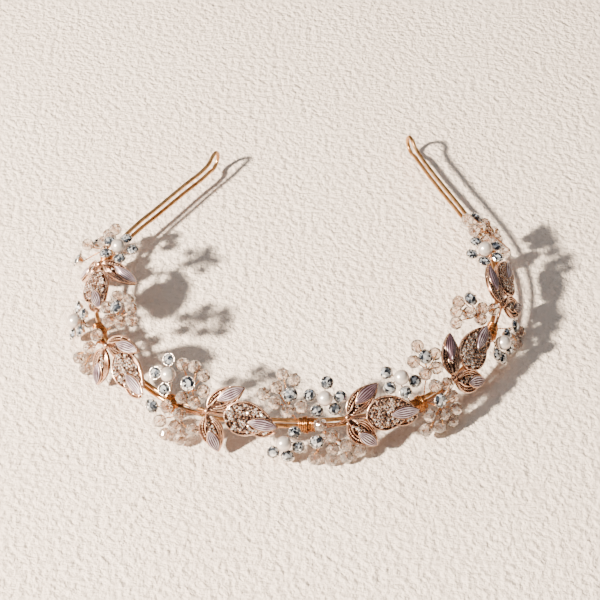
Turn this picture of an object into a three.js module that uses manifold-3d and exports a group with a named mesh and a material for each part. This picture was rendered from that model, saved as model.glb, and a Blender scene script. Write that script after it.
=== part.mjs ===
// Bridal tiara: a double gold wire headband with cast leaf sprigs, pearl flowers and bead sprays
// bound along its front. Millimetres, +Z up. The headband lies on its side: +X is the wearer's
// left-to-right line, the open ends point to +Y and the dressed front faces -Y.

import * as THREE from 'three';
import { mergeVertices } from 'three/addons/utils/BufferGeometryUtils.js';
import Module from 'manifold-3d';

const wasm = await Module();
wasm.setup();

// ---------------------------------------------------------------- driving dimensions

// headband wire: two runs, one above the other, closed by a teardrop loop at each end
const WIRE_DIAMETER = 1.4;
const RUN_SPACING = 2.8;       // between the runs' centres along the dressed front
const ARM_SPACING = 3.8;       // and along the bare arms
const LOOP_HALF_HEIGHT = 3.2;
const BAND_HEIGHT = 12;
const TIP_HEIGHT = 10;
const EASE_FROM = 70;          // distance from the front at which the runs start to spread and sink
const RUN_STEP = 6.5;
const SEAM_AT = -41;           // the wire's two ends butt here, inside a binding
const SEAM_GAP = 0.4;

// plan of the headband, left tip to right tip, as [x, y]
const BAND_PLAN = [
  [-30, 126], [-34, 117.5], [-42, 107.5], [-50.5, 96.5], [-58, 87], [-64, 77], [-67.8, 64],
  [-69, 50.5], [-65, 35.5], [-57, 23], [-46, 11.5], [-32, 4], [-16, 0.3], [0, -0.8], [16, 0.3],
  [31, 4], [45, 12], [56, 24], [63.5, 38], [67.5, 54], [67.2, 69], [63.5, 83.5], [57.5, 97],
  [51, 110], [44.5, 124], [40.5, 134.5],
];

// the ornament lies on a dome swept along the band: leaning in, and rounder than the band is tall
const DOME_RADIUS = 33;
const DOME_LEAN = THREE.MathUtils.degToRad(34);
const DOME_OUT = 3;            // how far the dome's middle stands out from the wires at the front
const DOME_OUT_AT_ENDS = 1.8;
const DOME_EASE = [80, 110];   // distance from the front over which it draws in
const DOME_MIDDLE_HEIGHT = 13.5;

// heads of the flowers
const PEARL_DIAMETER = 5;
const PEARL_RISE = 1.3;
const STONE_DIAMETER = 4.2;       // round a pearl
const SPRAY_STONE_DIAMETER = 4.8;
const STONE_HEIGHT = 2.6;
const BEAD_DIAMETER = 4.4;
const BEAD_FLAT = 2;          // from a bead's middle to the flat at either pole
const REST_HEIGHT = 3.5;       // of the surface the tiara stands on
const RING_RADIUS = 4.9;
const HEAD_LIFT = 2.4;
const HEAD_SIDES = 6;
const STEM_DIAMETER = 0.8;
const HUB_RADIUS = 1.1;
const HUB_HEIGHT = 0.8;
const HUB_DROP = 2.2;
const FRONT_ZONE = 2.5;        // hubs closer than this to the dome's middle root on the band's front

// cast leaves
const LEAF_THICKNESS = 1.1;
const LEAF_LIFT = 1.0;
// petalFrom: share of the leaf's length at which its petal starts; petalShift: how far off its rib
const UPPER_LEAF = { length: 13.5, width: 7, petalFrom: 0.3, petalShift: 0.5 };
const LOWER_LEAF = { length: 12.5, width: 8, petalFrom: 0.4, petalShift: -0.6 };
const BIG_LEAF = { length: 17.5, width: 12, petalFrom: 0.45, petalShift: -0.4 };
const PETAL_WIDTH = 3.8;
const BIG_LEAF_AHEAD = 5.5;
const TAIL_OUT = 1.55;
const TAIL_DIAMETER = 1;
const PETAL_THICKNESS = 0.9;
const PIECE_GAP = 0.35;

// bindings: each grips both runs of the band and the tail of a leaf sprig
const BINDING_LENGTH = 5.5;
const BINDING_WALL = 0.6;
const BINDING_BACK = 1.05;     // inner face behind the wires
const BINDING_FRONT = 2.4;     // inner face in front of the wires, past the tail
const BINDING_CORNER = 0.5;

// ---------------------------------------------------------------- layout, as [along, across]
// along runs with the band from its front middle, + to the right; across climbs the dome

// each leaf turns away from the band by degrees and leans in towards the head by degrees
const LEAF_SPRIGS = [
  { at: [-106.5, 5.5], upper: [70, 52], lower: [-100, 0], big: [11, 0] },
  { at: [-71.5, 3.5], upper: [25, 0], lower: [-70, 0], big: [-10, 0] },
  { at: [-29, 3], upper: [36, 0], lower: [-64, 0], big: [-7, 0] },
  { at: [15, 3], upper: [37, 0], lower: [-46, 0], big: [-7, 0] },
  { at: [52, 3.5], upper: [54, 0], lower: [-33, 0], big: [13, 0] },
  { at: [88, 3], upper: [36, 0], lower: [-48, 0], big: [-12, 0] },
];

// stones: where each sits around the pearl, in degrees; root: where the stem meets the band
// proud: how far the flower stands above its usual lift
const PEARL_FLOWERS = [
  { at: [-110.5, 13], lean: 30, proud: -0.4, stones: [20, 92, 164, 236, 308], root: -114.5 },
  { at: [-88.6, -3.4], lean: 0, proud: 0, stones: [-70, 5, 78, 150, 222], root: -84 },
  { at: [-44, 9.6], lean: 0, proud: 0, stones: [118, 197, 275], root: -42.5 },
  { at: [-4.5, -3.8], lean: 0, proud: 0, stones: [47, 226, 284, 342], root: 1 },
  { at: [8.3, 9.6], lean: -12, proud: 0, stones: [-123, -52, 0, 80, 168], root: 4.5 },
  { at: [34.5, 11.5], lean: 0, proud: 0, stones: [143, 203, 270, 328], root: 39 },
  { at: [75.5, -1.2], lean: 0, proud: 0, stones: [-132, -68, -8, 188], root: 75.5 },
  { at: [106.8, 11.4], lean: 30, proud: 0, stones: [30, 110, 170, 235, 300], root: 113 },
];

// heads as [along, across] or [along, across, proud]; feet are the beads that carry the tiara
const BEAD_SPRAYS = [
  {
    hub: [-120.5, 0],
    root: -121,
    stones: [[-121.5, -4.5, 1.2], [-114, -6.2, 3.8]],
    beads: [[-120.5, 0], [-124.5, 4], [-119.5, 5], [-118, -2.6, 4], [-124.5, -1]],
    feet: [],
  },
  {
    hub: [-76, 12.5],
    root: -80.5,
    stones: [[-79, 13.5]],
    beads: [[-78, 18], [-73.6, 17.2], [-69.4, 15], [-72.8, 12], [-76.8, 9], [-83, 15], [-82, 10.5]],
    feet: [],
  },
  {
    hub: [-78, -3.5],
    root: -80.5,
    stones: [],
    beads: [[-77, 2.8], [-76.8, -2.4]],
    feet: [[-79.6, -9.4], [-75.2, -9]],
  },
  {
    hub: [-36.5, 9.5],
    root: -39.5,
    stones: [[-36.4, 9.4, 1]],
    beads: [[-41, 14], [-36.6, 14.6], [-32.4, 13], [-31, 8.6], [-37.4, 4.6, -0.3], [-33, 4.5]],
    feet: [],
  },
  {
    hub: [-39.5, -3.5],
    root: -40.5,
    stones: [[-45.8, -1.4]],
    beads: [[-41.2, 0.6, 0.6], [-36.8, -0.4], [-42.4, -5], [-37.6, -4.8], [-40, -8.6], [-35.4, -8.4], [-32, -4]],
    feet: [],
  },
  {
    hub: [-2.9, 10.2],
    root: 2,
    stones: [[-2.8, 10.6, 0.8]],
    beads: [[-7.4, 12.6], [-7.8, 8], [-3.6, 5.6], [0.6, 7], [-1.6, 15], [-11.5, 10.5], [-5.5, 16.5]],
    feet: [],
  },
  {
    hub: [5.4, -3.7],
    root: 3.8,
    stones: [[5.4, -3.5, 0.4]],
    beads: [[6.6, 1.4], [10, -6.6], [10, -2.2], [14, -5.6], [18, -8]],
    feet: [[4.6, -8.8], [14, -9.8], [9.4, -11]],
  },
  {
    hub: [46.2, 13],
    root: 41.5,
    stones: [[46, 14, 0.6]],
    beads: [[41.4, 14.4], [43.4, 9.6], [48.2, 9.4], [50.4, 13.2], [46, 18]],
    feet: [],
  },
  {
    hub: [44.6, 0.1],
    root: 44.9,
    stones: [[44.4, 0.4, 0.6]],
    beads: [
      [44.8, 5], [48.8, -0.8], [48.8, -5.4], [44.4, -4.6], [40, -2.8], [42.4, -8], [46.8, -8.4],
      [49, 3.5], [38, -7],
    ],
    feet: [],
  },
  {
    hub: [76.5, 13],
    root: 79,
    stones: [[79, 15.6]],
    beads: [[73.4, 14], [70, 17.4], [75.2, 9.6], [79.2, 10.8], [82.6, 6.8], [74.5, 18.5], [66, 15.5]],
    feet: [],
  },
  {
    hub: [84.5, -4],
    root: 80.5,
    stones: [[86, -4.8]],
    beads: [],
    feet: [[88.2, -9.4], [83, -9.2]],
  },
  {
    hub: [121, 5],
    root: 116.5,
    stones: [[125, 9]],
    beads: [
      [120.6, 4.8], [120.2, 9.4], [120, 0.2], [117, -4.4], [122.4, 14], [116.6, 13.4],
      [113, 9.5], [124.5, 4.5], [124, -1],
    ],
    feet: [],
  },
];

const BINDINGS = [-115.5, -82, -41, 2.5, 40, 80, 114.8];

// ---------------------------------------------------------------- materials

const gold = new THREE.MeshStandardMaterial({ color: 0xc9a06a, roughness: 0.28, metalness: 1 });
const roseGold = new THREE.MeshStandardMaterial({ color: 0xd9a080, roughness: 0.25, metalness: 1 });
const orangeGold = new THREE.MeshStandardMaterial({ color: 0xc98a4a, roughness: 0.3, metalness: 1 });
const pearlWhite = new THREE.MeshStandardMaterial({ color: 0xf3eee8, roughness: 0.22, metalness: 0 });
const crystal = new THREE.MeshStandardMaterial({ color: 0xdfe4ea, roughness: 0.05, metalness: 0 });
const champagne = new THREE.MeshStandardMaterial({ color: 0xf0dfd2, roughness: 0.08, metalness: 0 });
const lilac = new THREE.MeshStandardMaterial({ color: 0xcbb8c8, roughness: 0.2, metalness: 0 });

// ---------------------------------------------------------------- the band's own frame

const plan = new THREE.CatmullRomCurve3(BAND_PLAN.map(([x, y]) => new THREE.Vector3(x, y, 0)));
plan.arcLengthDivisions = 800;
const BAND_LENGTH = plan.getLength();

// distance from the left tip to the front middle, the plan point that lies on x = 0
function lengthToFront() {
  let low = 0.3;
  let high = 0.7;
  for (let k = 0; k < 40; k += 1) {
    const mid = (low + high) / 2;
    if (plan.getPointAt(mid).x < 0) low = mid;
    else high = mid;
  }
  return low * BAND_LENGTH;
}
const LEFT_LENGTH = lengthToFront();
const RIGHT_LENGTH = BAND_LENGTH - LEFT_LENGTH;

function smoothstep(from, to, value) {
  return THREE.MathUtils.smoothstep(value, from, to);
}

// 0 along the dressed front, rising to 1 at the tips
function armShare(along) {
  return smoothstep(EASE_FROM, along < 0 ? LEFT_LENGTH : RIGHT_LENGTH, Math.abs(along));
}

function bandHeight(along) {
  return THREE.MathUtils.lerp(BAND_HEIGHT, TIP_HEIGHT, armShare(along));
}

function halfSpacing(along) {
  return THREE.MathUtils.lerp(RUN_SPACING, ARM_SPACING, armShare(along)) / 2;
}

function bindingHalfHeight(along) {
  return halfSpacing(along) + WIRE_DIAMETER / 2 + PIECE_GAP + BINDING_WALL;
}

// point beside the band: out is measured level, away from the head; height is absolute
function bandPoint(along, out, height) {
  const u = THREE.MathUtils.clamp((along + LEFT_LENGTH) / BAND_LENGTH, 0, 1);
  const tangent = plan.getTangentAt(u);
  const outward = new THREE.Vector3(tangent.y, -tangent.x, 0);
  const point = plan.getPointAt(u).addScaledVector(outward, out);
  point.z = height;
  return { point, tangent, outward };
}

// frame on the dome: x along the band, y across it, z out of the dome
function seat(along, across, lift) {
  const angle = DOME_LEAN + across / DOME_RADIUS;
  const middle = THREE.MathUtils.lerp(DOME_OUT, DOME_OUT_AT_ENDS, smoothstep(...DOME_EASE, Math.abs(along)));
  const centreOut = middle - DOME_RADIUS * Math.cos(DOME_LEAN);
  const centreHeight = DOME_MIDDLE_HEIGHT - DOME_RADIUS * Math.sin(DOME_LEAN);
  const radius = DOME_RADIUS + lift;
  const base = bandPoint(along, centreOut + radius * Math.cos(angle), centreHeight + radius * Math.sin(angle));
  const up = new THREE.Vector3(0, 0, 1);
  const out = base.outward.clone().multiplyScalar(Math.cos(angle)).addScaledVector(up, Math.sin(angle));
  const climb = up.clone().multiplyScalar(Math.cos(angle)).addScaledVector(base.outward, -Math.sin(angle));
  return new THREE.Matrix4().makeBasis(base.tangent, climb, out).setPosition(base.point);
}

function seatPoint(along, across, lift) {
  return new THREE.Vector3().setFromMatrixPosition(seat(along, across, lift));
}

// ---------------------------------------------------------------- solid helpers

function toSolid(geometry) {
  const bare = geometry.index ? geometry.toNonIndexed() : geometry.clone();
  bare.deleteAttribute('normal');
  bare.deleteAttribute('uv');
  const welded = mergeVertices(bare, 1e-4);
  return new wasm.Manifold(new wasm.Mesh({
    numProp: 3,
    vertProperties: new Float32Array(welded.attributes.position.array),
    triVerts: new Uint32Array(welded.index.array),
  }));
}

function toGeometry(solid) {
  const mesh = solid.getMesh();
  const geometry = new THREE.BufferGeometry();
  geometry.setAttribute('position', new THREE.BufferAttribute(new Float32Array(mesh.vertProperties), 3));
  geometry.setIndex(new THREE.BufferAttribute(new Uint32Array(mesh.triVerts), 1));
  geometry.computeVertexNormals();
  return geometry;
}

function join(geometries) {
  const solids = geometries.map(toSolid);
  return toGeometry(solids.slice(1).reduce((whole, piece) => whole.add(piece), solids[0]));
}

// a curve that is walked control point by control point, so that tight bends get their own steps
class SteppedPath extends THREE.CatmullRomCurve3 {
  getPointAt(u, target) {
    return this.getPoint(u, target);
  }

  getTangentAt(u, target) {
    return this.getTangent(u, target);
  }
}

function roundSection(diameter, sides) {
  const shape = new THREE.Shape();
  for (let k = 0; k < sides; k += 1) {
    const angle = (2 * Math.PI * (k + 0.5)) / sides;
    const x = (diameter / 2) * Math.cos(angle);
    const y = (diameter / 2) * Math.sin(angle);
    if (k === 0) shape.moveTo(x, y);
    else shape.lineTo(x, y);
  }
  shape.closePath();
  return shape;
}

function wire(points, diameter, sides) {
  return new THREE.ExtrudeGeometry(roundSection(diameter, sides), {
    extrudePath: new SteppedPath(points),
    steps: points.length - 1,
    bevelEnabled: false,
  });
}

// ---------------------------------------------------------------- headband

function endLoop(along, side) {
  const back = (reach, half) => bandPoint(along - side * reach, 0, TIP_HEIGHT + half).point;
  return [back(7, 2.3), back(4.5, LOOP_HALF_HEIGHT), back(1.6, 2.7), back(0, 0),
    back(1.6, -2.7), back(4.5, -LOOP_HALF_HEIGHT), back(7, -2.3)];
}

function run(from, to, side) {
  const count = Math.round(Math.abs(to - from) / RUN_STEP);
  const points = [];
  for (let k = 0; k <= count; k += 1) {
    const along = THREE.MathUtils.lerp(from, to, k / count);
    points.push(bandPoint(along, 0, bandHeight(along) + side * halfSpacing(along)).point);
  }
  return points;
}

function headbandWire() {
  const right = RIGHT_LENGTH - 12;
  const left = -LEFT_LENGTH + 12;
  return wire([
    ...run(SEAM_AT + SEAM_GAP / 2, right, -1),
    ...endLoop(RIGHT_LENGTH, 1).reverse(),
    ...run(right, left, 1),
    ...endLoop(-LEFT_LENGTH, -1),
    ...run(left, SEAM_AT - SEAM_GAP / 2, -1),
  ], WIRE_DIAMETER, 8);
}

// ---------------------------------------------------------------- heads

// round brilliant in a cup: cup foot, girdle, crown and table
function stoneHead(diameter) {
  const radius = diameter / 2;
  const half = STONE_HEIGHT / 2;
  return new THREE.LatheGeometry([
    new THREE.Vector2(0, -half),
    new THREE.Vector2(radius * 0.45, -half),
    new THREE.Vector2(radius, half * 0.25),
    new THREE.Vector2(radius * 0.5, half),
    new THREE.Vector2(0, half),
  ], HEAD_SIDES).rotateX(Math.PI / 2);
}

// faceted bead with a flat at each pole
function beadHead() {
  const radius = BEAD_DIAMETER / 2;
  return new THREE.LatheGeometry([
    new THREE.Vector2(0, -BEAD_FLAT),
    new THREE.Vector2(radius * 0.6, -BEAD_FLAT),
    new THREE.Vector2(radius, 0),
    new THREE.Vector2(radius * 0.6, BEAD_FLAT),
    new THREE.Vector2(0, BEAD_FLAT),
  ], HEAD_SIDES).rotateX(Math.PI / 2);
}

// level frame of a bead that carries the tiara: its lower flat lies at the resting height
function footFrame([along, across]) {
  const place = seatPoint(along, across, HEAD_LIFT);
  return new THREE.Matrix4().makeTranslation(place.x, place.y, REST_HEIGHT + BEAD_FLAT);
}

function hubDisc() {
  return new THREE.CylinderGeometry(HUB_RADIUS, HUB_RADIUS, HUB_HEIGHT, HEAD_SIDES).rotateX(Math.PI / 2);
}

// stem from a flower's hub, behind the dome, to the top, front or underside of the band
function stem(hubPoint, across, root) {
  const beside = bindingHalfHeight(root) + STEM_DIAMETER / 2 + PIECE_GAP;
  const middle = bandHeight(root);
  const end = { out: 2.1, height: middle - halfSpacing(root) - 0.4 };
  if (across > FRONT_ZONE) Object.assign(end, { out: 0.6, height: middle + beside });
  if (across < -FRONT_ZONE) Object.assign(end, { out: 3.05, height: middle - beside - 0.4 });
  return wire([hubPoint, bandPoint(root, end.out, end.height).point], STEM_DIAMETER, 5);
}

const group = new THREE.Group();

function addMesh(name, geometry, material) {
  const mesh = new THREE.Mesh(geometry, material);
  mesh.name = name;
  group.add(mesh);
  return mesh;
}

function pearlFlower(number, flower) {
  const [along, across] = flower.at;
  const frame = seat(along, across, HEAD_LIFT + flower.proud)
    .multiply(new THREE.Matrix4().makeRotationX(-THREE.MathUtils.degToRad(flower.lean)));
  const pieces = [hubDisc().translate(0, 0, -HUB_DROP + HUB_HEIGHT / 2)];
  flower.stones.forEach((degrees) => {
    const angle = THREE.MathUtils.degToRad(degrees);
    const direction = new THREE.Vector3(Math.cos(angle), Math.sin(angle), 0);
    const place = direction.clone().multiplyScalar(RING_RADIUS);
    pieces.push(stoneHead(STONE_DIAMETER).translate(place.x, place.y, 0));
    const inner = direction.clone().multiplyScalar(0.4).setZ(-HUB_DROP + HUB_HEIGHT / 2);
    const outer = direction.clone().multiplyScalar(RING_RADIUS - 0.3).setZ(-STONE_HEIGHT * 0.4);
    pieces.push(wire([inner, outer], STEM_DIAMETER, 4));
  });
  const local = pieces.map((piece) => piece.applyMatrix4(frame));
  const hubPoint = new THREE.Vector3(0, 0, -HUB_DROP + HUB_HEIGHT / 2).applyMatrix4(frame);
  local.push(stem(hubPoint, across, flower.root));
  addMesh(`pearl_flower_${number}_stones`, join(local), crystal);

  const pearl = new THREE.SphereGeometry(PEARL_DIAMETER / 2, 10, 7).rotateX(Math.PI / 2);
  addMesh(`pearl_${number}`, pearl, pearlWhite).applyMatrix4(frame.clone()
    .multiply(new THREE.Matrix4().makeTranslation(0, 0, PEARL_RISE)));
}

function beadSpray(number, spray) {
  const [along, across] = spray.hub;
  const hubFrame = seat(along, across, HEAD_LIFT);
  const hubPoint = new THREE.Vector3(0, 0, -HUB_DROP + HUB_HEIGHT / 2).applyMatrix4(hubFrame);
  const pieces = [hubDisc().translate(0, 0, -HUB_DROP + HUB_HEIGHT / 2).applyMatrix4(hubFrame)];
  const addHead = (head, frame) => {
    pieces.push(head.applyMatrix4(frame));
    const back = new THREE.Vector3(0, 0, -1.2).applyMatrix4(frame);
    pieces.push(wire([hubPoint, back], STEM_DIAMETER, 4));
  };
  const headFrame = ([headAlong, headAcross, proud = 0]) => seat(headAlong, headAcross, HEAD_LIFT + proud);
  spray.stones.forEach((place) => addHead(stoneHead(SPRAY_STONE_DIAMETER), headFrame(place)));
  spray.beads.forEach((place) => addHead(beadHead(), headFrame(place)));
  spray.feet.forEach((place) => addHead(beadHead(), footFrame(place)));
  pieces.push(stem(hubPoint, across, spray.root));
  addMesh(`bead_spray_${number}`, join(pieces), champagne);
}

// ---------------------------------------------------------------- leaves

// pointed leaf lying along +x from the origin
function leafOutline(length, width) {
  const half = width / 2;
  const shape = new THREE.Shape();
  shape.moveTo(0, -0.5);
  shape.bezierCurveTo(length * 0.15, -half * 1.15, length * 0.6, -half * 1.35, length, 0);
  shape.bezierCurveTo(length * 0.6, half * 1.35, length * 0.15, half * 1.15, 0, 0.5);
  shape.closePath();
  return shape;
}

function petalOutline(length, width) {
  const shape = new THREE.Shape();
  shape.moveTo(0, 0);
  shape.quadraticCurveTo(length / 2, -width, length, 0);
  shape.quadraticCurveTo(length / 2, width, 0, 0);
  return shape;
}

function plate(outline, thickness, curveSegments) {
  return new THREE.ExtrudeGeometry(outline, { depth: thickness, bevelEnabled: false, curveSegments });
}

// frame of a leaf: lies on the dome from its start, turned away from the band and leaning in
function leafFrame([along, across], [turn, lean], length) {
  const angle = THREE.MathUtils.degToRad(turn);
  const ahead = [along + (length / 2) * Math.cos(angle), across + (length / 2) * Math.sin(angle)];
  const frame = seat(ahead[0], ahead[1], LEAF_LIFT)
    .multiply(new THREE.Matrix4().makeRotationZ(angle))
    .multiply(new THREE.Matrix4().makeTranslation(-length / 2, 0, 0));
  const root = new THREE.Vector3().setFromMatrixPosition(frame);
  const { tangent } = bandPoint(along, 0, 0);
  return new THREE.Matrix4().makeTranslation(root.x, root.y, root.z)
    .multiply(new THREE.Matrix4().makeRotationAxis(tangent, -THREE.MathUtils.degToRad(lean)))
    .multiply(new THREE.Matrix4().makeTranslation(-root.x, -root.y, -root.z))
    .multiply(frame);
}

function addPetal(name, frame, leaf) {
  const start = leaf.length * leaf.petalFrom;
  const petal = plate(petalOutline(leaf.length - start, PETAL_WIDTH), PETAL_THICKNESS, 4)
    .rotateZ(Math.atan2(-leaf.petalShift, leaf.length - start))
    .translate(start, leaf.petalShift, LEAF_THICKNESS + PIECE_GAP);
  addMesh(name, petal, lilac).applyMatrix4(frame);
}

function leafSprig(number, sprig) {
  const [along, across] = sprig.at;
  const leaves = [
    { name: 'upper', kind: UPPER_LEAF, start: [along, across + 1], pose: sprig.upper },
    { name: 'lower', kind: LOWER_LEAF, start: [along, across - 1], pose: sprig.lower },
    { name: 'big', kind: BIG_LEAF, start: [along + BIG_LEAF_AHEAD, across], pose: sprig.big },
  ];
  const lift = LEAF_LIFT + LEAF_THICKNESS / 2;
  const boss = seatPoint(along, across, lift);
  const tailEnd = BINDINGS[number - 1] - BINDING_LENGTH / 2;
  const pieces = [wire([
    ...[tailEnd, tailEnd + BINDING_LENGTH, along - 4]
      .map((at) => bandPoint(at, TAIL_OUT, bandHeight(at)).point),
    bandPoint(along - 2, TAIL_OUT + 0.5, bandHeight(along) + across / 4).point,
    boss,
  ], TAIL_DIAMETER, 5)];
  leaves.forEach((leaf) => {
    const { length, width } = leaf.kind;
    const frame = leafFrame(leaf.start, leaf.pose, length);
    pieces.push(plate(leafOutline(length, width), LEAF_THICKNESS, 4).applyMatrix4(frame));
    const root = new THREE.Vector3(1.5, 0, LEAF_THICKNESS / 2).applyMatrix4(frame);
    pieces.push(wire([boss, root], TAIL_DIAMETER, 5));
    addPetal(`leaf_sprig_${number}_${leaf.name}_petal`, frame, leaf.kind);
  });
  addMesh(`leaf_sprig_${number}`, join(pieces), roseGold);
}

// ---------------------------------------------------------------- bindings

function roundedBox([left, right], tall, radius, shape) {
  shape.moveTo(left + radius, -tall);
  shape.lineTo(right - radius, -tall);
  shape.absarc(right - radius, -tall + radius, radius, -Math.PI / 2, 0);
  shape.absarc(right - radius, tall - radius, radius, 0, Math.PI / 2);
  shape.absarc(left + radius, tall - radius, radius, Math.PI / 2, Math.PI);
  shape.absarc(left + radius, -tall + radius, radius, Math.PI, 1.5 * Math.PI);
  return shape;
}

function binding(number, along) {
  const tall = bindingHalfHeight(along);
  const inside = tall - BINDING_WALL;
  const sleeve = roundedBox([-BINDING_BACK - BINDING_WALL, BINDING_FRONT + BINDING_WALL], tall,
    BINDING_CORNER + BINDING_WALL, new THREE.Shape());
  sleeve.holes.push(roundedBox([-BINDING_BACK, BINDING_FRONT], inside, BINDING_CORNER, new THREE.Path()));
  const geometry = new THREE.ExtrudeGeometry(sleeve, {
    depth: BINDING_LENGTH, bevelEnabled: false, curveSegments: 1,
  }).translate(0, 0, -BINDING_LENGTH / 2);
  const { point, outward } = bandPoint(along, 0, bandHeight(along));
  const up = new THREE.Vector3(0, 0, 1);
  const frame = new THREE.Matrix4().makeBasis(outward, up, outward.clone().cross(up)).setPosition(point);
  addMesh(`binding_wire_${number}`, geometry, orangeGold).applyMatrix4(frame);
}

// ---------------------------------------------------------------- assembly

addMesh('headband_wire', headbandWire(), gold);
BINDINGS.forEach((along, k) => binding(k + 1, along));
LEAF_SPRIGS.forEach((sprig, k) => leafSprig(k + 1, sprig));
PEARL_FLOWERS.forEach((flower, k) => pearlFlower(k + 1, flower));
BEAD_SPRAYS.forEach((spray, k) => beadSpray(k + 1, spray));

// stand the tiara on its lowest bead, centred over its own footprint
const whole = new THREE.Box3();
group.children.forEach((mesh) => {
  mesh.updateMatrixWorld(true);
  whole.expandByObject(mesh, true);
});
const centre = whole.getCenter(new THREE.Vector3());
group.position.set(-centre.x, -centre.y, -whole.min.z);

export default group;
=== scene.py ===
import math
import random

import bpy
import numpy as np
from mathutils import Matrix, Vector


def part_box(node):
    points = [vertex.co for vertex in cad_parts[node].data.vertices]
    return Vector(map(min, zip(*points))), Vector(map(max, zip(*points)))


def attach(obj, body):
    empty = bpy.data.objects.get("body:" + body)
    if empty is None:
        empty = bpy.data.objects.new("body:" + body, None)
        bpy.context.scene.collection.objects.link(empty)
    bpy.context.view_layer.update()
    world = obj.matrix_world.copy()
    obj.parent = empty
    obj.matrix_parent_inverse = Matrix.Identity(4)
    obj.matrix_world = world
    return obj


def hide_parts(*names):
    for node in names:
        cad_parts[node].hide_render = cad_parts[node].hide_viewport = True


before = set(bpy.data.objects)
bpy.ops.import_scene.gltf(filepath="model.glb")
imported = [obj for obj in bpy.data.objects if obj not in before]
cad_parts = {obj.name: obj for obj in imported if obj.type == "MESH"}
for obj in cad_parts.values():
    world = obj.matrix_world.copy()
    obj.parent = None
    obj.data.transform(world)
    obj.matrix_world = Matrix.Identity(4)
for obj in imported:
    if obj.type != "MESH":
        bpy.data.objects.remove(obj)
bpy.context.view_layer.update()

# The tiara's looks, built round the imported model. Lengths are in millimetres until an object is made.

MM = 0.001

# ---------------------------------------------------------------- sizes shared with the CAD model

WIRE_RADIUS = 0.7
BAND_OUT = 1.55                # a sprig's tail runs this far outside the band's wires
BEAD_RADIUS = 2.2
BEAD_FLAT = 2.0                # from a bead's middle to the flat at either pole
BEAD_FLAT_RADIUS = 1.32
FLOWER_STONE_RADIUS = 2.1
SPRAY_STONE_RADIUS = 2.4
STONE_HALF_HEIGHT = 1.3
STONE_TABLE_SHARE = 0.5        # a stone's table against its full radius
STONE_GIRDLE = 0.325           # height of a stone's widest ring above its middle
PEARL_RADIUS = 2.5
PEARL_RISE = 1.3
BINDING_LENGTH = 5.5
LEAF_THICKNESS = 1.1
PETAL_LIFT = 1.45              # petals stand on this height above a leaf's back
PETAL_THICKNESS = 0.9
LEAVES = {
    "upper": {"length": 13.5, "width": 7.0, "petal_from": 0.3, "petal_shift": 0.5},
    "lower": {"length": 12.5, "width": 8.0, "petal_from": 0.4, "petal_shift": -0.6},
    "big": {"length": 17.5, "width": 12.0, "petal_from": 0.45, "petal_shift": -0.4},
}
PETAL_WIDTH = 3.8

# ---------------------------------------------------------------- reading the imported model

LEVEL_COSINE = 0.9995          # triangles that meet flatter than this are one face
SMALLEST_FACE = 0.5            # in square millimetres
SAME_LENGTH = 0.04             # two lengths nearer than this are the same


def nodes_like(start, end=""):
    return sorted(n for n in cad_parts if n.startswith(start) and n.endswith(end))


def grouped(count, pairs):
    """Group number of each of count items once the pairs are joined."""
    owner = list(range(count))

    def root(k):
        while owner[k] != k:
            k = owner[k]
        return k

    for a, b in pairs:
        owner[root(a)] = root(b)
    return [root(k) for k in range(count)]


def members_of(groups):
    """Item numbers of each group, keyed by the group's number."""
    found = {}
    for k, group in enumerate(groups):
        found.setdefault(group, []).append(k)
    return found


def node_mesh(name):
    """Welded corner points and triangles of a CAD node."""
    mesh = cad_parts[name].data
    mesh.calc_loop_triangles()
    points = np.array([v.co[:] for v in mesh.vertices]) / MM
    keys = {}
    index = [keys.setdefault(tuple(np.round(p, 2)), len(keys)) for p in points]
    welded = np.zeros((len(keys), 3))
    for old, new in enumerate(index):
        welded[new] = points[old]
    triangles = [[index[v] for v in t.vertices] for t in mesh.loop_triangles]
    return welded, [t for t in triangles if len(set(t)) == 3]


def flat_faces(name):
    """Connected flat faces of a CAD node, each as (centre, normal, area, reach)."""
    points, triangles = node_mesh(name)
    normals = []
    for a, b, c in triangles:
        normals.append(np.cross(points[b] - points[a], points[c] - points[a]))
    areas = np.linalg.norm(normals, axis=1) / 2
    normals = np.array(normals) / np.maximum(2 * areas, 1e-12)[:, None]
    by_edge = {}
    level_pairs = []
    for k, t in enumerate(triangles):
        for a, b in ((0, 1), (1, 2), (2, 0)):
            edge = (min(t[a], t[b]), max(t[a], t[b]))
            other = by_edge.setdefault(edge, k)
            if other != k and normals[k] @ normals[other] > LEVEL_COSINE:
                level_pairs.append((k, other))
    faces = []
    for members in members_of(grouped(len(triangles), level_pairs)).values():
        weights = areas[members]
        if weights.sum() < SMALLEST_FACE:
            continue
        middles = np.array([points[triangles[k]].mean(axis=0) for k in members])
        centre = (middles * weights[:, None]).sum(axis=0) / weights.sum()
        corners = points[sorted({v for k in members for v in triangles[k]})]
        normal = (normals[members] * weights[:, None]).sum(axis=0)
        reach = np.linalg.norm(corners - centre, axis=1).max()
        faces.append((centre, normal / np.linalg.norm(normal), weights.sum(), reach))
    return faces, points


def is_hexagon(face, radius):
    hexagon_area = 1.5 * math.sqrt(3) * radius * radius
    return abs(face[2] - hexagon_area) < 0.03 * hexagon_area and abs(face[3] - radius) < 0.05


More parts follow.
